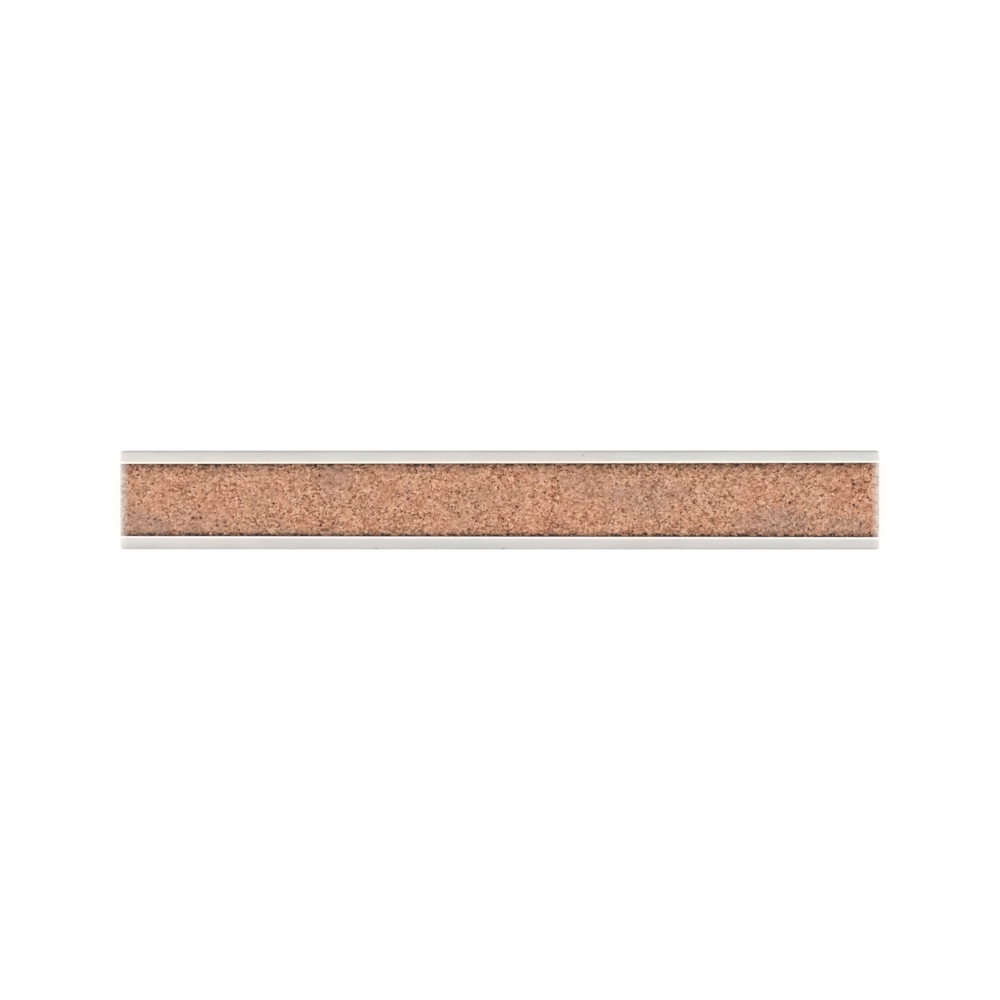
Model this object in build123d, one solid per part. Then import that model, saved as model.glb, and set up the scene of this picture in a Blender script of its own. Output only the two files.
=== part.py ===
from build123d import *
import math
import os

# A cork-backed stainless steel ruler, 15 cm and 6 in long, in millimetres.
#
# The ruler lies on its scale face with the cork on top. +X runs along the length away from the
# zero end, +Y across the width towards the centimetre edge, and +Z up, out of the cork. The origin
# is the middle of the scale face, so z = 0 is the surface that the ruler lies on.
#
# The pieces are the steel blade, the double-sided tape, the cork strip, and the black enamel that
# fills the etched marks of the scale face. Marks of one length share a node, as separate solids.

# Steel blade
BLADE_LENGTH = 153.0
BLADE_WIDTH = 20.0
BLADE_THICKNESS = 1.0
CORNER_RADIUS = 0.45
BACK_EDGE_RADIUS = 0.42  # along the long edges of the cork side
SCALE_EDGE_RADIUS = 0.08  # edge break round the scale face

# Double-sided tape, a little wider than the cork on each side
TAPE_THICKNESS = 0.16
TAPE_MARGIN = 0.36

# Cork strip, cut by hand, so that it widens a little towards the far end
CORK_THICKNESS = 1.20
CORK_WIDTH_ZERO_END = 14.63
CORK_WIDTH_FAR_END = 15.00
CORK_EDGE_RADIUS = 0.30

# Etched marks of the scale face
INCH = 25.4
LAST_CENTIMETRE = 15
LAST_INCH = 6
ETCH_DEPTH = 0.08
MARK_WIDTH = 0.16
MARK_INSET = 0.22  # from the blade's long edge to the outer end of each mark

# Each scale is a step, and then its marks from long to short: how many steps apart, node, length
CENTIMETRE_STEP = 1.0
CENTIMETRE_MARKS = (
    (10, "centimetre_marks", 4.2),
    (5, "five_millimetre_marks", 3.1),
    (1, "millimetre_marks", 2.2),
)
INCH_STEP = INCH / 16
INCH_MARKS = (
    (16, "inch_marks", 6.0),
    (8, "half_inch_marks", 4.8),
    (4, "quarter_inch_marks", 3.8),
    (2, "eighth_inch_marks", 2.9),
    (1, "sixteenth_inch_marks", 2.1),
)

# Numerals, drawn with one even stroke. Shares are of the numeral's height.
CENTIMETRE_NUMERAL_HEIGHT = 1.9
INCH_NUMERAL_HEIGHT = 2.7
NUMERAL_CLEARANCE = 0.6  # between a number and its mark
STROKE_SHARE = 0.13
WIDTH_SHARE = 0.54
DIGIT_GAP_SHARE = 0.34
UPPER_BOWL = 0.23  # radius of the upper bowl of 3 and 8
LOWER_BOWL = 0.27  # radius of their lower bowl: the two bowls fill the height
HOOK_RADIUS = 0.80  # radius of the long curve of 6 and 9


def blade_blank():
    """The steel strip before etching, with rounded corners and broken edges.

    The back is rounded off along its two long edges only. Its ends are square, so that the tape
    and the cork can finish flush with them.
    """
    outline = RectangleRounded(BLADE_LENGTH, BLADE_WIDTH, CORNER_RADIUS)
    blank = extrude(outline, BLADE_THICKNESS)
    blank = fillet(blank.edges().group_by(Axis.Z)[0], SCALE_EDGE_RADIUS)
    section = Rectangle(BLADE_WIDTH, BLADE_THICKNESS, align=(Align.CENTER, Align.MIN))
    section = fillet(section.vertices().group_by(Axis.Y)[-1], BACK_EDGE_RADIUS)
    return blank & extrude(Plane.YZ * section, BLADE_LENGTH / 2, both=True)


def backing(margin, bottom, thickness):
    """A strip on the back of the blade that follows the cork's outline, `margin` wider each side."""
    end = BLADE_LENGTH / 2
    at_zero = CORK_WIDTH_ZERO_END / 2 + margin
    at_far = CORK_WIDTH_FAR_END / 2 + margin
    outline = Polyline((-end, -at_zero), (end, -at_far), (end, at_far), (-end, at_zero), close=True)
    return Pos(0, 0, bottom) * extrude(make_face(outline.edges()), thickness)


def cork():
    """The cork strip, with its upper edges rubbed round."""
    block = backing(0, BLADE_THICKNESS + TAPE_THICKNESS, CORK_THICKNESS)
    return fillet(block.edges().group_by(Axis.Z)[-1], CORK_EDGE_RADIUS)


def digit_paths(digit):
    """The centre lines of one digit, one unit high, with its lower left corner at the origin."""
    right = WIDTH_SHARE
    middle = right / 2
    if digit == "0":
        return [
            CenterArc((middle, 1 - middle), middle, 0, 180),
            Line((0, 1 - middle), (0, middle)),
            CenterArc((middle, middle), middle, 180, 180),
            Line((right, middle), (right, 1 - middle)),
        ]
    if digit == "1":
        return [Line((middle, 0), (middle, 1)), Line((middle, 1), (middle - 0.2, 0.8))]
    if digit == "2":
        # The bowl runs on, along its tangent, into the diagonal that ends at the lower left corner
        reach = math.hypot(middle, 1 - middle)
        tangent = math.degrees(math.atan2(1 - middle, middle) - math.asin(middle / reach)) - 90
        bowl = CenterArc((middle, 1 - middle), middle, tangent, 165 - tangent)
        return [bowl, Line(bowl @ 0, (0, 0)), Line((0, 0), (right, 0))]
    if digit == "3":
        return [
            CenterArc((middle, 1 - UPPER_BOWL), UPPER_BOWL, -90, 240),
            CenterArc((middle, LOWER_BOWL), LOWER_BOWL, -150, 240),
        ]
    if digit == "4":
        post, bar = 0.78 * right, 0.3
        return [Line((post, 0), (post, 1)), Line((post, 1), (0, bar)), Line((0, bar), (right, bar))]
    if digit == "5":
        back, radius = 0.06, 0.29
        first = 180 - math.degrees(math.acos((right - radius - back) / radius))
        bowl = CenterArc((right - radius, radius), radius, -145, 145 + first)
        return [bowl, Line(bowl @ 1, (back, 1)), Line((back, 1), (0.9 * right, 1))]
    if digit == "6":
        top = math.degrees(math.asin((1 - middle) / HOOK_RADIUS))
        return [
            *circle_paths((middle, middle), middle),
            CenterArc((HOOK_RADIUS, middle), HOOK_RADIUS, 180 - top, top),
        ]
    if digit == "7":
        return [Line((0, 1), (right, 1)), Line((right, 1), (0.2 * right, 0))]
    if digit == "8":
        return [
            *circle_paths((middle, 1 - UPPER_BOWL), UPPER_BOWL),
            *circle_paths((middle, LOWER_BOWL), LOWER_BOWL),
        ]
    # 9 is 6 turned half round
    half_turn = Pos(right, 1) * Rot(0, 0, 180)
    return [half_turn * path for path in digit_paths("6")]


def circle_paths(centre, radius):
    """A full circle as two half circles."""
    return [CenterArc(centre, radius, first, 180) for first in (0, 180)]


def number(value, height):
    """The outline of a whole number, with its lower left corner at the origin."""
    advance = WIDTH_SHARE + DIGIT_GAP_SHARE
    strokes = [
        Pos(place * advance, 0) * SlotArc(path, STROKE_SHARE)
        for place, digit in enumerate(str(value))
        for path in digit_paths(digit)
    ]
    return scale(Sketch() + strokes, by=height)


def number_width(value, height):
    """The width of a number along the centre lines of its strokes."""
    digits = len(str(value))
    return height * (digits * WIDTH_SHARE + (digits - 1) * DIGIT_GAP_SHARE)


def etched(outline):
    """The solids that fill marks drawn as a reader of the scale face sees them.

    The reader looks up at the face from below, with +X to the right and -Y upwards.
    """
    return (Rot(180, 0, 0) * extrude(outline, -ETCH_DEPTH)).solids()


def mark_solids(step, count, classes, side):
    """Every mark of one scale, by node. `side` is +1 for the reader's upper edge, or -1."""
    solids = {node: [] for _, node, _ in classes}
    for index in range(1, count + 1):
        node, length = next((node, length) for apart, node, length in classes if index % apart == 0)
        across = side * (BLADE_WIDTH / 2 - MARK_INSET - length / 2)
        mark = Pos(index * step - BLADE_LENGTH / 2, across) * Rectangle(MARK_WIDTH, length)
        solids[node] += etched(mark)
    return solids


def centimetre_numerals():
    """Numbers above the centimetre marks of the reader's lower edge, centred on them."""
    height = CENTIMETRE_NUMERAL_HEIGHT
    mark_length = CENTIMETRE_MARKS[0][2]
    across = -BLADE_WIDTH / 2 + MARK_INSET + mark_length + NUMERAL_CLEARANCE
    solids = []
    for value in range(1, LAST_CENTIMETRE + 1):
        along = 10 * value - BLADE_LENGTH / 2 - number_width(value, height) / 2
        solids += etched(Pos(along, across) * number(value, height))
    return solids


def inch_numerals():
    """Numbers to the left of the inch marks of the reader's upper edge, level with their ends."""
    height = INCH_NUMERAL_HEIGHT
    mark_length = INCH_MARKS[0][2]
    across = BLADE_WIDTH / 2 - MARK_INSET - mark_length + height * STROKE_SHARE / 2
    solids = []
    for value in range(1, LAST_INCH + 1):
        right = value * INCH - BLADE_LENGTH / 2 - NUMERAL_CLEARANCE
        solids += etched(Pos(right - number_width(value, height), across) * number(value, height))
    return solids


# The enamel, by node
enamel = {
    **mark_solids(CENTIMETRE_STEP, 10 * LAST_CENTIMETRE, CENTIMETRE_MARKS, side=-1),
    "centimetre_numerals": centimetre_numerals(),
    **mark_solids(INCH_STEP, 16 * LAST_INCH, INCH_MARKS, side=1),
    "inch_numerals": inch_numerals(),
}

nodes = {
    "steel_blade": blade_blank() - [solid for solids in enamel.values() for solid in solids],
    "adhesive_tape": backing(TAPE_MARGIN, BLADE_THICKNESS, TAPE_THICKNESS),
    "cork_strip": cork(),
    **{node: Compound(solids) for node, solids in enamel.items()},
}

os.makedirs("parts", exist_ok=True)
for node, shape in nodes.items():
    export_step(shape, f"parts/{node}.step")
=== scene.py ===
import math

import bmesh
import bpy
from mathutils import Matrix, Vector


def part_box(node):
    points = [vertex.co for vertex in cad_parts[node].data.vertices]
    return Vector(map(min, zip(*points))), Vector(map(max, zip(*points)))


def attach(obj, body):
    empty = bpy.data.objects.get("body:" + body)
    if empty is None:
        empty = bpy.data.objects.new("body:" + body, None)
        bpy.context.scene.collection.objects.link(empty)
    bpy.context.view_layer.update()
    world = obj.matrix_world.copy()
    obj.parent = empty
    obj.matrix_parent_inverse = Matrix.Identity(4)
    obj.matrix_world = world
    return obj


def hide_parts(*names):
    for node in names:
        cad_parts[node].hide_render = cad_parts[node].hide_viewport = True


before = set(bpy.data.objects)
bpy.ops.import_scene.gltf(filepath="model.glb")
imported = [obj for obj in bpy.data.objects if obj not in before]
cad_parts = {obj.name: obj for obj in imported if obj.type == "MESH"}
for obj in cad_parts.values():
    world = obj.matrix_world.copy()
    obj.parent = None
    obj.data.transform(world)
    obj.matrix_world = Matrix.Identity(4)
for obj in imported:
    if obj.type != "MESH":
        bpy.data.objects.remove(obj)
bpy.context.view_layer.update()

# The cork-backed steel ruler lies on its scale face with the cork on top: +X along its length, +Y
# across it and +Z up. Its upper long edge is the one on +Y, as the camera sees it. Sizes below are
# in millimetres, and MM turns them into Blender's metres.
MM = 0.001

blade_low, blade_high = (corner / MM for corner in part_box("steel_blade"))
cork_low, cork_high = (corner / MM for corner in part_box("cork_strip"))
BLADE_HALF_LENGTH = blade_high.x
BLADE_HALF_WIDTH = blade_high.y
CORK_HALF_LENGTH = cork_high.x

# The cork strip is cut by hand and widens towards the far end
CORK_TAPER = 0.185  # how much each side draws in from the far end to the zero end
CORK_FAR_HALF_WIDTH = cork_high.y
CORK_ZERO_HALF_WIDTH = CORK_FAR_HALF_WIDTH - CORK_TAPER
CORK_EDGE_RADIUS = 0.34
CORK_PITCH = 0.2  # spacing of the cork's mesh, finer than its granules
CORK_RELIEF = 0.11  # how far the surface sinks where its relief falls from 1 to 0

# Lens and camera place, straight above and a little towards the far end
LENS = 100.0
CAMERA_DISTANCE = 561.9
CAMERA_LEAN = 1.1  # degrees from upright, towards the far end
CAMERA_AIM = 0.20  # the point along the ruler that it looks at

# How much brighter than its own colour the studio's light makes a surface that faces up
LIGHT_LEVEL = 1.61

# The two softboxes, in metres and watts: how far out and up, length and width, and power
SOFTBOX_OUT = 0.90
SOFTBOX_UP = 0.70
SOFTBOX_SIZE = (0.9, 0.6)
SOFTBOX_POWER = 12.0

# Brightness of the surroundings: overhead, and at the sides beyond the lower and upper long edges
OVERHEAD_LIGHT = 0.93
LOWER_SIDE_LIGHT = 0.76
UPPER_SIDE_LIGHT = 0.52

FLOOR_HALF_SIZE = 0.5  # metres


def srgb(red, green, blue):
    """A colour given as 0 to 255 on a screen, as Blender's linear colour."""
    def linear(code):
        share = code / 255
        return share / 12.92 if share <= 0.04045 else ((share + 0.055) / 1.055) ** 2.4
    return linear(red), linear(green), linear(blue), 1.0


def lit(red, green, blue):
    """The colour of a matt surface that looks like this under the studio's light."""
    return (*(part / LIGHT_LEVEL for part in srgb(red, green, blue)[:3]), 1.0)


# ---- Node trees -------------------------------------------------------------------------------


class Field:
    """One output of a node. Arithmetic on fields and numbers adds Math nodes."""

    def __init__(self, graph, socket):
        self.graph = graph
        self.socket = socket

    def __add__(self, other):
        return self.graph.math("ADD", self, other)

    def __sub__(self, other):
        return self.graph.math("SUBTRACT", self, other)

    def __rsub__(self, other):
        return self.graph.math("SUBTRACT", other, self)

    def __mul__(self, other):
        return self.graph.math("MULTIPLY", self, other)

    __radd__ = __add__
    __rmul__ = __mul__


class Graph:
    """A node tree, with one short call for each kind of node that the materials use."""

    def __init__(self, tree):
        self.tree = tree
        tree.nodes.clear()

    def node(self, kind, inputs=(), **settings):
        """Adds a node. `inputs` maps an input's name or number to a field or a plain value."""
        made = self.tree.nodes.new(kind)
        for name, value in settings.items():
            setattr(made, name, value)
        for name, value in dict(inputs).items():
            if isinstance(value, Field):
                self.tree.links.new(value.socket, made.inputs[name])
            else:
                made.inputs[name].default_value = value
        return made

    def output(self, made, name):
        return Field(self, made.outputs[name])

    def math(self, operation, *operands):
        inputs = dict(enumerate(operands))
        return self.output(self.node("ShaderNodeMath", inputs, operation=operation), 0)

    def absolute(self, field):
        return self.math("ABSOLUTE", field)

    def greatest(self, one, other):
        return self.math("MAXIMUM", one, other)

    def step(self, field, low, high, to_low=0.0, to_high=1.0):
        """Rises smoothly from to_low, where the field is `low`, to to_high, where it is `high`."""
        inputs = {0: field, 1: low, 2: high, 3: to_low, 4: to_high}
        made = self.node("ShaderNodeMapRange", inputs, interpolation_type="SMOOTHSTEP")
        return self.output(made, 0)

    def curve(self, field, stops):
        """A number that runs in straight lines through the stops, each a place and a value."""
        low, high = stops[0][0], stops[-1][0]
        greys = [((place - low) / (high - low), (value, value, value, 1.0)) for place, value in stops]
        return self.ramp((field - low) * (1 / (high - low)), greys)

    def vector(self, x, y, z):
        return self.output(self.node("ShaderNodeCombineXYZ", {0: x, 1: y, 2: z}), 0)

    def parts(self, vector):
        made = self.node("ShaderNodeSeparateXYZ", {0: vector})
        return [self.output(made, axis) for axis in range(3)]

    def vector_math(self, operation, *operands):
        inputs = dict(enumerate(operands))
        return self.output(self.node("ShaderNodeVectorMath", inputs, operation=operation), 0)

    def length(self, x, y):
        """The length of a flat vector."""
        made = self.node("ShaderNodeVectorMath", {0: self.vector(x, y, 0.0)}, operation="LENGTH")
        return self.output(made, "Value")

    def scaled(self, vector, x, y=None, z=None):
        """The vector with each part multiplied, all by x if only that is given."""
        factors = (x, x if y is None else y, x if z is None else z)
        return self.vector_math("MULTIPLY", vector, factors)

    def shifted(self, vector, distance):
        """The vector moved by the same distance along each axis, for an unrelated pattern."""
        return self.vector_math("ADD", vector, (distance, distance, distance))

    def noise(self, point, size, detail=2.0, roughness=0.5, output="Factor"):
        """Smooth noise from 0 to 1 whose features are about `size` millimetres."""
        inputs = {"Vector": point, "Scale": 1 / size, "Detail": detail, "Roughness": roughness}
        made = self.node("ShaderNodeTexNoise", inputs, noise_dimensions="3D")
        return self.output(made, 0 if output == "Factor" else 1)

    def cells(self, point, size, feature="F1"):
        """Cells about `size` millimetres across: (distance, random colour of each cell)."""
        inputs = {"Vector": point, "Scale": 1 / size}
        made = self.node("ShaderNodeTexVoronoi", inputs, voronoi_dimensions="3D", feature=feature)
        distance = self.output(made, "Distance")
        if feature == "DISTANCE_TO_EDGE":
            return distance, None
        return distance, self.output(made, "Color")

    def mix(self, one, other, share, blend="MIX"):
        """Colour `one` with `share` of colour `other` over it."""
        inputs = {0: share, 6: one, 7: other}
        made = self.node("ShaderNodeMix", inputs, data_type="RGBA", blend_type=blend)
        return self.output(made, 2)

    def ramp(self, field, stops):
        """A colour that runs through the stops, each a place from 0 to 1 and a colour."""
        made = self.node("ShaderNodeValToRGB", {0: field})
        elements = made.color_ramp.elements
        while len(elements) < len(stops):
            elements.new(1.0)
        for element, (place, colour) in zip(elements, stops):
            element.position = place
            element.color = colour
        return self.output(made, 0)


def surface_graph(name):
    """A new material, and its empty graph."""
    material = bpy.data.materials.new(name)
    material.use_nodes = True
    return material, Graph(material.node_tree)


def object_point(graph):
    """The shaded point in millimetres, in the ruler's own frame."""
    made = graph.node("ShaderNodeTexCoord")
    return graph.scaled(graph.output(made, "Object"), 1 / MM)


def finish_surface(graph, inputs, height, depth):
    """The shader, with a bump `height` field that stands `depth` millimetres high."""
    bump_inputs = {"Strength": 1.0, "Distance": depth * MM, "Height": height}
    normal = graph.output(graph.node("ShaderNodeBump", bump_inputs), 0)
    shader = graph.node("ShaderNodeBsdfPrincipled", {**inputs, "Normal": normal})
    graph.node("ShaderNodeOutputMaterial", {0: graph.output(shader, 0)})


def spots(graph, x, y, places):
    """1 on small spots that are drawn out along the ruler, and 0 elsewhere."""
    total = 0.0
    for along, across, radius in places:
        distance = graph.length(x - along, (y - across) * 1.6)
        total = graph.step(distance, radius, 0.3 * radius) + total
    return total


# ---- Cork -------------------------------------------------------------------------------------

# Sizes of the grain, from the finest crumbs to patches of stronger and weaker contrast
FINE_SIZE = 0.2
GRANULE_SIZE = 0.43
GAP_SPACING = 0.8
LUMP_SIZE = 1.1
PATCH_SIZE = 3.5

# Scattered specks: spacing, share of the places taken, greatest radius, and softness of the edge
CHIPS = (0.72, 0.40, 0.25, 0.09)
BARK = (1.6, 0.30, 0.40, 0.10)
FLECKS = (0.9, 0.25, 0.26, 0.10)

# Scuffed and greyed places on the cork: middle and half size along X and Y, and strength
CORK_SCUFFS = (
    ((55.0, -4.3), (8.5, 3.4), 0.80),
    ((-72.0, -5.0), (6.0, 4.0), 0.90),
    ((-61.0, -4.6), (9.0, 2.8), 0.40),
    ((-33.5, 4.0), (4.5, 4.5), 0.50),
    ((19.0, 3.0), (6.0, 4.0), 0.30),
    ((29.5, 0.5), (8.5, 4.0), 0.45),
    ((-45.0, -6.6), (30.0, 1.6), 0.35),
    ((69.0, -5.2), (7.0, 2.8), 0.60),
)

# What scuffs multiply the cork's colour by, and what the painted shade along its long edges
# multiplies it by
SCUFF_TINT = (0.84, 0.93, 1.0, 1.0)
EDGE_SHADE_TINT = (0.125, 0.121, 0.128, 1.0)

# How far the painted shade along the long edges and the painted glare at the ends cover the cork:
# pairs of the distance in from the edge and the share
UPPER_EDGE_PAINTED_SHADE = ((0.25, 0.81), (0.75, 0.50), (1.5, 0.24), (2.6, 0.0))
LOWER_EDGE_PAINTED_SHADE = ((0.30, 0.97), (0.50, 0.75), (0.75, 0.35), (1.1, 0.16), (1.6, 0.0))
END_PAINTED_GLARE = ((0.1, 0.98), (0.5, 0.67), (1.1, 0.34), (1.7, 0.0))

# Pale granules that stand clear of the painted edge shade: place along and across, and radius
PALE_GRANULES = (
    (-61.1, 7.05, 0.50),
    (-58.2, -6.75, 0.36),
    (-55.2, -6.70, 0.32),
    (64.4, -7.05, 0.30),
)

# Colours from dark grain to pale, under the painted glare at the ends and elsewhere
GLARE_TONES = (
    (0.20, lit(206, 190, 180)),
    (0.60, lit(230, 221, 216)),
    (1.00, lit(244, 238, 234)),
)
CORK_TONES = (
    (0.00, lit(88, 40, 20)),
    (0.22, lit(144, 88, 60)),
    (0.42, lit(189, 135, 108)),
    (0.60, lit(208, 155, 127)),
    (0.80, lit(226, 173, 146)),
    (1.00, lit(248, 208, 182)),
)


def scatter(graph, point, spacing, share, reach, soft):
    """Scattered specks whose radius is at most `reach`: 1 inside them and 0 outside."""
    distance, cell = graph.cells(point, spacing)
    pick, size, _ = graph.parts(cell)
    picked = graph.step(pick, 1.0 - share, 1.0 - share + 0.02)
    radius = picked * (0.45 + 0.55 * size) * (reach / spacing)
    return graph.step(radius - distance, 0.0, soft / spacing)


def cork_grain(graph, point):
    """The agglomerated cork's fields, by name.

    The tone runs from 0, dark, to 1. The relief is 1 at the surface and less in the hollows. The
    hue and the paleness are random numbers from 0 to 1 for each granule.
    """
    wander = graph.noise(point, 0.5, detail=2.0, output="Color")
    wander = graph.vector_math("SUBTRACT", wander, (0.5, 0.5, 0.5))
    bent = graph.vector_math("ADD", graph.scaled(point, 1.0, 1.12, 1.12), graph.scaled(wander, 0.5))

    _, granule = graph.cells(bent, GRANULE_SIZE)
    granule_tone, granule_hue, _ = graph.parts(granule)
    _, lump = graph.cells(bent, LUMP_SIZE)
    lump_tone, _, _ = graph.parts(lump)
    gap, _ = graph.cells(bent, GAP_SPACING, feature="DISTANCE_TO_EDGE")
    broken = graph.noise(point, LUMP_SIZE, detail=1.0)
    gap = graph.step(gap, 0.10, 0.0) * graph.step(broken, 0.45, 0.65)
    fine = graph.noise(point, FINE_SIZE, detail=2.0, roughness=0.6)
    contrast = graph.step(graph.noise(point, PATCH_SIZE, detail=2.0), 0.3, 0.7, 0.8, 1.25)

    chips = scatter(graph, bent, *CHIPS)
    bark = scatter(graph, graph.shifted(bent, 31.0), *BARK)
    flecks = scatter(graph, graph.shifted(bent, 67.0), *FLECKS)

    tone = contrast * (
        0.56 * (granule_tone - 0.5)
        + 0.08 * (lump_tone - 0.5)
        + 1.38 * (fine - 0.5)
        - 0.22 * gap
        - 0.50 * chips
        + 0.46 * flecks
    ) - 0.56 * bark + 0.56
    relief = 0.72 + 0.28 * granule_tone + 0.5 * (fine - 0.5) - 0.35 * gap - 0.3 * chips - 0.7 * bark
    return {"tone": tone, "relief": relief, "hue": granule_hue, "paleness": granule_tone}


def cork_half_width(x):
    """Half the strip's width at this place along it."""
    slope = CORK_TAPER / (2 * CORK_HALF_LENGTH)
    return x * slope + (CORK_FAR_HALF_WIDTH + CORK_ZERO_HALF_WIDTH) / 2


def scuffs(graph, x, y, ragged):
    """How greyed the cork is, from 0 to 1."""
    total = 0.0
    for (along, across), (half_x, half_y), strength in CORK_SCUFFS:
        distance = graph.length((x - along) * (1 / half_x), (y - across) * (1 / half_y))
        distance = distance + 0.9 * (ragged - 0.5)
        total = graph.step(distance, 1.15, 0.35, 0.0, strength) + total
    return total


def painted_edge_shade(graph, point, x, y, z):
    """Painted shade: how far both long edges are darkened, the upper one over a wider band, and dark
    blots of painted shade along the rim.
    """
    half_width = cork_half_width(x)
    drawn_out = graph.scaled(point, 0.45, 1.0, 1.0)
    wander = graph.step(graph.noise(drawn_out, 0.5, detail=2.0), 0.36, 0.64, -0.5, 0.5)
    upper = half_width - y + 0.32 * wander
    lower = half_width + y + 0.26 * wander
    edge_shade = graph.greatest(graph.curve(upper, UPPER_EDGE_PAINTED_SHADE), graph.curve(lower, LOWER_EDGE_PAINTED_SHADE))
    patch = graph.step(graph.noise(graph.shifted(drawn_out, 12.0), 0.6, detail=1.0), 0.52, 0.58)
    shade_blots = 0.88 * patch * graph.step(graph.math("MINIMUM", upper, lower), 0.46, 0.14)
    # The painted shade is strongest on the rim and fainter down the cut walls
    on_rim = graph.step(z, cork_high.z - 0.8, cork_high.z - 0.3, 0.4, 1.0)
    return edge_shade * on_rim, shade_blots * on_rim


def cork_surface():
    material, graph = surface_graph("cork_agglomerate")
    point = object_point(graph)
    x, y, z = graph.parts(point)
    grain = cork_grain(graph, point)
    colour = graph.ramp(grain["tone"], CORK_TONES)

    # Hue drifts between ochre and pink, in granules and in soft patches
    drift = graph.noise(point, 6.0, detail=2.0)
    hue = 0.25 * (grain["hue"] - 0.5) + 1.2 * (drift - 0.5) + 0.5
    tint = graph.ramp(hue, ((0.25, srgb(244, 252, 252)), (0.75, srgb(255, 250, 248))))
    colour = graph.mix(colour, tint, 1.0, blend="MULTIPLY")
    resin = graph.noise(graph.shifted(point, 20.0), 3.2, detail=2.0)
    tint = graph.ramp(resin, ((0.35, srgb(255, 254, 247)), (0.65, srgb(254, 252, 255))))
    colour = graph.mix(colour, tint, 1.0, blend="MULTIPLY")

    ragged = graph.noise(point, 3.0, detail=3.0)
    grey = scuffs(graph, x, y, ragged)
    colour = graph.mix(colour, SCUFF_TINT, grey, blend="MULTIPLY")
    colour = graph.mix(colour, lit(168, 136, 122), 0.3 * grey)

    # The painted edge shade is deeper on dark granules than on pale ones
    shade_unevenness = graph.step(grain["paleness"], 0.0, 1.0, 1.24, 0.68)
    # Painted shade along both long edges, with dark blots of painted shade at the rim
    edge_shade, shade_blots = painted_edge_shade(graph, point, x, y, z)
    colour = graph.mix(colour, EDGE_SHADE_TINT, edge_shade * shade_unevenness, blend="MULTIPLY")
    colour = graph.mix(colour, lit(36, 20, 17), shade_blots * shade_unevenness)
    colour = graph.mix(colour, lit(232, 192, 166), 0.8 * spots(graph, x, y, PALE_GRANULES))

    # Painted glare: the rims of both ends are painted pale
    from_end = CORK_HALF_LENGTH - graph.absolute(x) + 0.3 * (ragged - 0.5)
    on_rim = graph.step(z, cork_high.z - 0.75, cork_high.z - CORK_EDGE_RADIUS, 0.12, 1.0)
    painted_glare = graph.curve(from_end, END_PAINTED_GLARE) * on_rim
    glare_colour = graph.ramp(grain["tone"], GLARE_TONES)
    colour = graph.mix(colour, glare_colour, painted_glare)

    inputs = {"Base Color": colour, "Roughness": 0.92, "Specular IOR Level": 0.2}
    finish_surface(graph, inputs, grain["relief"], 0.10)
    return material


def cork_relief():
    """A node group that sinks the cork's binder lines and bark specks below its granules."""
    group = bpy.data.node_groups.new("cork_relief", "GeometryNodeTree")
    group.interface.new_socket("Geometry", in_out="INPUT", socket_type="NodeSocketGeometry")
    group.interface.new_socket("Geometry", in_out="OUTPUT", socket_type="NodeSocketGeometry")
    graph = Graph(group)
    entry = graph.output(graph.node("NodeGroupInput"), 0)
    place = graph.output(graph.node("GeometryNodeInputPosition"), 0)
    normal = graph.output(graph.node("GeometryNodeInputNormal"), 0)
    point = graph.scaled(place, 1 / MM)
    _, _, z = graph.parts(point)
    relief = cork_grain(graph, point)["relief"]
    # Only inwards, and not where the strip sits on its tape
    above_tape = graph.step(z, cork_low.z + 0.05, cork_low.z + 0.3)
    depth = graph.math("MINIMUM", (relief - 1.0) * (CORK_RELIEF * MM), 0.0) * above_tape
    scale = graph.node("ShaderNodeVectorMath", {0: normal, "Scale": depth}, operation="SCALE")
    offset = graph.output(scale, 0)
    moved = graph.node("GeometryNodeSetPosition", {"Geometry": entry, "Offset": offset})
    graph.node("NodeGroupOutput", {0: graph.output(moved, 0)})
    return group


def cork_outline(inset):
    """Half the length and half the widths at both ends of the strip's outline drawn in by `inset`."""
    return CORK_HALF_LENGTH - inset, CORK_ZERO_HALF_WIDTH - inset, CORK_FAR_HALF_WIDTH - inset


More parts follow.
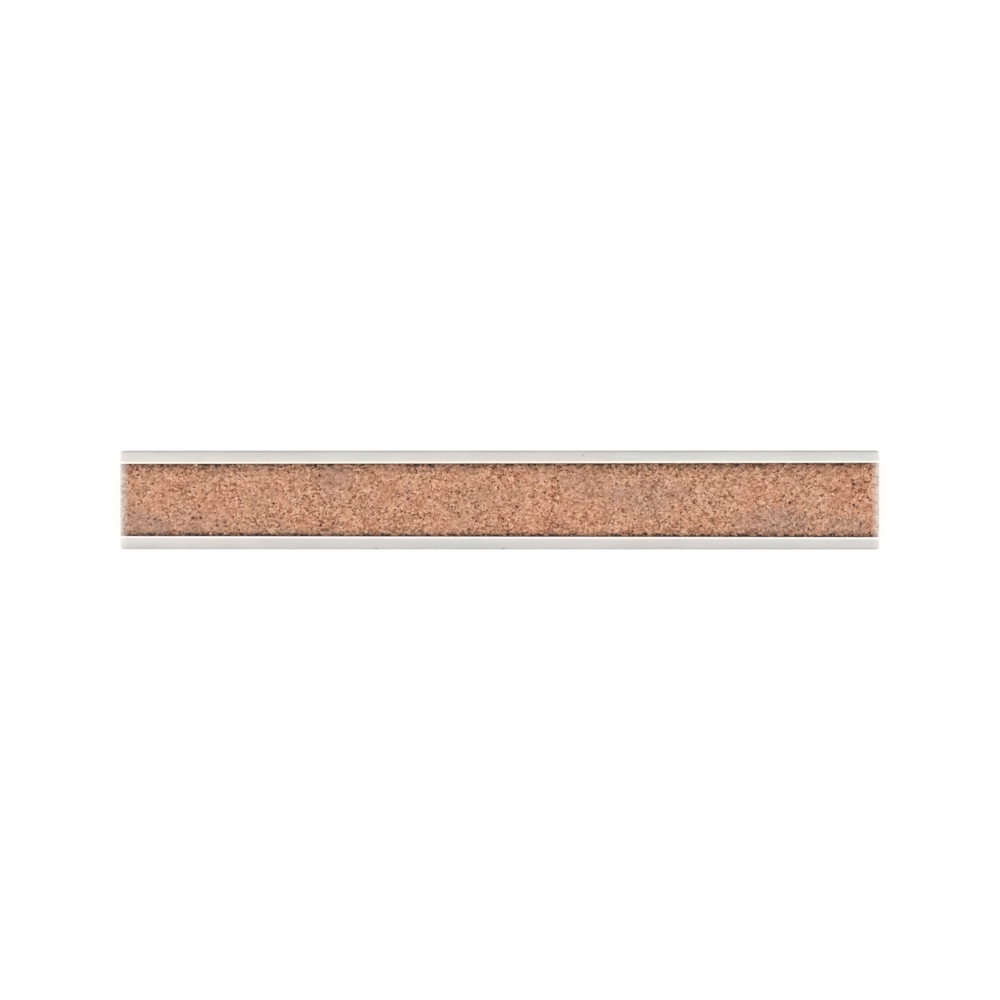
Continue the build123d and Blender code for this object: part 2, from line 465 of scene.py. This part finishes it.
def cork_mesh():
    """The strip as a closed mesh: a fine top, edges rolled over it, side walls and a bottom."""
    along = round(2 * CORK_HALF_LENGTH / CORK_PITCH)
    across = round(2 * CORK_FAR_HALF_WIDTH / CORK_PITCH)
    mesh = bmesh.new()
    top = cork_high.z

    def place(i, j, inset, height):
        """The point of column i, row j of the top, for an outline drawn in by `inset`."""
        end, zero, far = cork_outline(inset)
        x = end * (2 * i / along - 1)
        half_width = zero + (far - zero) * i / along
        y = half_width * (2 * j / across - 1)
        return mesh.verts.new(Vector((x, y, height)) * MM)

    grid = [[place(i, j, CORK_EDGE_RADIUS, top) for j in range(across + 1)] for i in range(along + 1)]
    for i in range(along):
        for j in range(across):
            mesh.faces.new((grid[i][j], grid[i + 1][j], grid[i + 1][j + 1], grid[i][j + 1]))

    rim = (
        [(i, 0) for i in range(along)]
        + [(along, j) for j in range(across)]
        + [(i, across) for i in range(along, 0, -1)]
        + [(0, j) for j in range(across, 0, -1)]
    )
    # Rings from the top's rim, round the rolled edge and down the wall: (inset, height)
    roll = [math.radians(angle) for angle in (30, 60, 90)]
    rings = [
        (CORK_EDGE_RADIUS * (1 - math.sin(angle)), top - CORK_EDGE_RADIUS * (1 - math.cos(angle)))
        for angle in roll
    ]
    wall = top - CORK_EDGE_RADIUS - cork_low.z
    steps = round(wall / CORK_PITCH)
    rings += [(0.0, cork_low.z + wall * (1 - step / steps)) for step in range(1, steps + 1)]
    upper = [grid[i][j] for i, j in rim]
    for inset, height in rings:
        lower = [place(i, j, inset, height) for i, j in rim]
        for k in range(len(rim)):
            after = (k + 1) % len(rim)
            mesh.faces.new((upper[k], lower[k], lower[after], upper[after]))
        upper = lower
    # The bottom is strips from one long side to the other, with a sharp edge all round
    foot = dict(zip(rim, upper))
    for i in range(along):
        left = range(across + 1) if i == 0 else (0, across)
        right = range(across, -1, -1) if i == along - 1 else (across, 0)
        mesh.faces.new([foot[i, j] for j in left] + [foot[i + 1, j] for j in right])
    for one, other in zip(upper, upper[1:] + upper[:1]):
        mesh.edges.get((one, other)).smooth = False
    return mesh


def add_mesh(name, mesh, material):
    """A smooth-shaded object from a bmesh."""
    data = bpy.data.meshes.new(name)
    mesh.to_mesh(data)
    mesh.free()
    data.materials.append(material)
    data.shade_smooth()
    made = bpy.data.objects.new(name, data)
    bpy.context.collection.objects.link(made)
    return made


def make_cork():
    cork = add_mesh("cork_backing", cork_mesh(), cork_surface())
    modifier = cork.modifiers.new("relief", "NODES")
    modifier.node_group = cork_relief()
    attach(cork, "root")
    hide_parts("cork_strip")


# ---- Steel, tape and enamel -------------------------------------------------------------------

# Small nicks in the back of the blade: place along and across, and radius
NICKS = (
    (-24.8, -9.85, 0.38),
    (0.9, -9.85, 0.42),
    (17.0, 9.0, 0.32),
)

STEEL_TONES = (
    (0.2, srgb(204, 201, 198)),
    (0.5, srgb(219, 216, 213)),
    (0.8, srgb(233, 230, 227)),
)

# What the rolled long edges multiply the steel's colour by
ROLLED_TINT = (1.03, 1.04, 1.08, 1.0)


def steel_surface():
    material, graph = surface_graph("satin_steel")
    point = object_point(graph)
    x, y, _ = graph.parts(point)

    # Grinding lines run along the blade, over a soft mottle
    lines = graph.noise(graph.scaled(point, 0.012, 1.0, 1.0), 0.09, detail=3.0, roughness=0.6)
    streaks = graph.noise(graph.scaled(point, 0.03, 1.0, 1.0), 0.8, detail=2.0)
    mottle = graph.noise(graph.scaled(point, 0.5, 1.0, 1.0), 4.0, detail=3.0)
    warmth = graph.noise(graph.scaled(point, 0.25, 1.0, 1.0), 7.0, detail=1.0) - 0.002 * x

    # Painted sheen: the flat steel is lighter towards the cork and darker towards its outer edges
    from_edge = BLADE_HALF_WIDTH - graph.absolute(y)
    sheen_towards_cork = graph.step(from_edge, 0.2, 2.4, -0.5, 0.5)
    upper = graph.step(y, -BLADE_HALF_WIDTH, BLADE_HALF_WIDTH, -0.5, 0.5)
    level = 0.5 + 0.26 * sheen_towards_cork + 0.10 * upper
    level = level + 0.45 * (lines - 0.5) + 0.22 * (streaks - 0.5) + 0.22 * (mottle - 0.5)
    colour = graph.ramp(level, STEEL_TONES)
    tint = graph.ramp(warmth, ((0.35, srgb(252, 254, 253)), (0.65, srgb(255, 252, 250))))
    colour = graph.mix(colour, tint, 1.0, blend="MULTIPLY")

    # The rolled long edges are cleaner and so a little bluer than the flat
    rolled = graph.step(from_edge, 0.45, 0.15)
    colour = graph.mix(colour, ROLLED_TINT, rolled, blend="MULTIPLY")

    # Painted glare: the steel is painted lighter towards both ends
    from_end = BLADE_HALF_LENGTH - graph.absolute(x)
    colour = graph.mix(colour, srgb(252, 251, 249), graph.step(from_end, 1.6, 0.0, 0.0, 0.25))

    # The cut walls round the blade are ground duller than its faces
    from_side = graph.math("MINIMUM", from_edge, from_end)
    wall = graph.step(from_side, 0.04, 0.01)
    colour = graph.mix(colour, srgb(158, 155, 151), 0.8 * wall)

    nick = spots(graph, x, y, NICKS)
    colour = graph.mix(colour, srgb(122, 119, 118), 0.55 * nick)

    roughness = 0.30 + 0.10 * (mottle - 0.5) + 0.10 * (lines - 0.5) + 0.12 * wall
    inputs = {"Base Color": colour, "Metallic": 1.0, "Roughness": roughness}
    finish_surface(graph, inputs, lines - 2.0 * nick, 0.006)
    return material


def tape_surface():
    material, graph = surface_graph("adhesive_tape")
    point = object_point(graph)
    _, y, _ = graph.parts(point)
    fibres = graph.noise(graph.scaled(point, 0.3, 1.0, 1.0), 0.25, detail=3.0)
    stain = graph.noise(point, 1.4, detail=3.0)
    colour = graph.ramp(fibres, ((0.3, srgb(241, 230, 220)), (0.7, srgb(248, 240, 232))))
    # Along the inch edge the adhesive is a little pinker
    colour = graph.mix(colour, srgb(250, 249, 255), graph.step(y, 1.0, -1.0), blend="MULTIPLY")
    colour = graph.mix(colour, srgb(226, 208, 188), graph.step(stain, 0.62, 0.85, 0.0, 0.5))
    inputs = {"Base Color": colour, "Roughness": 0.45}
    finish_surface(graph, inputs, fibres, 0.02)
    return material


def enamel_surface():
    material, graph = surface_graph("black_enamel")
    point = object_point(graph)
    grain = graph.noise(point, 0.05, detail=3.0)
    wear = graph.noise(point, 0.5, detail=4.0, roughness=0.65)
    colour = graph.ramp(wear, ((0.35, srgb(22, 22, 24)), (0.75, srgb(52, 50, 50))))
    roughness = graph.step(wear, 0.3, 0.8, 0.32, 0.55)
    inputs = {"Base Color": colour, "Roughness": roughness, "Specular IOR Level": 0.35}
    finish_surface(graph, inputs, grain, 0.006)
    return material


def paint(surface, nodes):
    """Gives CAD nodes a material."""
    for node in nodes:
        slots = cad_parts[node].data.materials
        slots.clear()
        slots.append(surface)


# ---- Stage ------------------------------------------------------------------------------------


def make_floor():
    """A pale table top at the height that the ruler lies on."""
    material, graph = surface_graph("floor")
    inputs = {"Base Color": srgb(229, 229, 228), "Roughness": 0.9}
    shader = graph.node("ShaderNodeBsdfPrincipled", inputs)
    graph.node("ShaderNodeOutputMaterial", {0: graph.output(shader, 0)})
    mesh = bmesh.new()
    bmesh.ops.create_grid(mesh, x_segments=1, y_segments=1, size=FLOOR_HALF_SIZE)
    floor = add_mesh("floor", mesh, material)


def make_world():
    """Soft white surroundings, a little darker beyond the upper long edge."""
    world = bpy.data.worlds.new("studio")
    world.use_nodes = True
    bpy.context.scene.world = world
    graph = Graph(world.node_tree)
    direction = graph.output(graph.node("ShaderNodeTexCoord"), "Generated")
    _, y, z = graph.parts(direction)
    around = graph.step(y, -0.7, 0.7, LOWER_SIDE_LIGHT, UPPER_SIDE_LIGHT)
    strength = graph.step(z, 0.80, 0.96) * (OVERHEAD_LIGHT - around) + around
    # Seen directly, they are plain white
    seen = graph.output(graph.node("ShaderNodeLightPath"), "Is Camera Ray")
    strength = graph.greatest(strength, seen)
    inputs = {"Color": srgb(255, 255, 255), "Strength": strength}
    background = graph.node("ShaderNodeBackground", inputs)
    graph.node("ShaderNodeOutputWorld", {0: graph.output(background, 0)})


def softbox(name, side):
    """A large lamp beyond one end of the ruler, looking at its middle. `side` is -1 or +1."""
    lamp = bpy.data.lights.new(name, "AREA")
    lamp.shape = "RECTANGLE"
    lamp.size, lamp.size_y = SOFTBOX_SIZE
    lamp.energy = SOFTBOX_POWER
    lamp.color = srgb(255, 253, 250)[:3]
    made = bpy.data.objects.new(name, lamp)
    made.location = (side * SOFTBOX_OUT, 0.0, SOFTBOX_UP)
    made.rotation_euler = (-made.location).to_track_quat("-Z", "Y").to_euler()
    bpy.context.collection.objects.link(made)


def make_camera():
    camera = bpy.data.cameras.new("camera")
    camera.lens = LENS
    made = bpy.data.objects.new("camera", camera)
    lean = math.radians(CAMERA_LEAN)
    distance = CAMERA_DISTANCE * MM
    made.location = (CAMERA_AIM * MM + distance * math.sin(lean), 0.0, distance * math.cos(lean))
    made.rotation_euler = (0.0, lean, 0.0)
    bpy.context.collection.objects.link(made)
    bpy.context.scene.camera = made


make_camera()
make_world()
make_floor()
softbox("softbox_zero_end", side=-1)
softbox("softbox_far_end", side=1)
bpy.context.scene.view_settings.view_transform = "Standard"

make_cork()
paint(steel_surface(), ["steel_blade"])
paint(tape_surface(), ["adhesive_tape"])
paint(enamel_surface(), [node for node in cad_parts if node.endswith(("_marks", "_numerals"))])
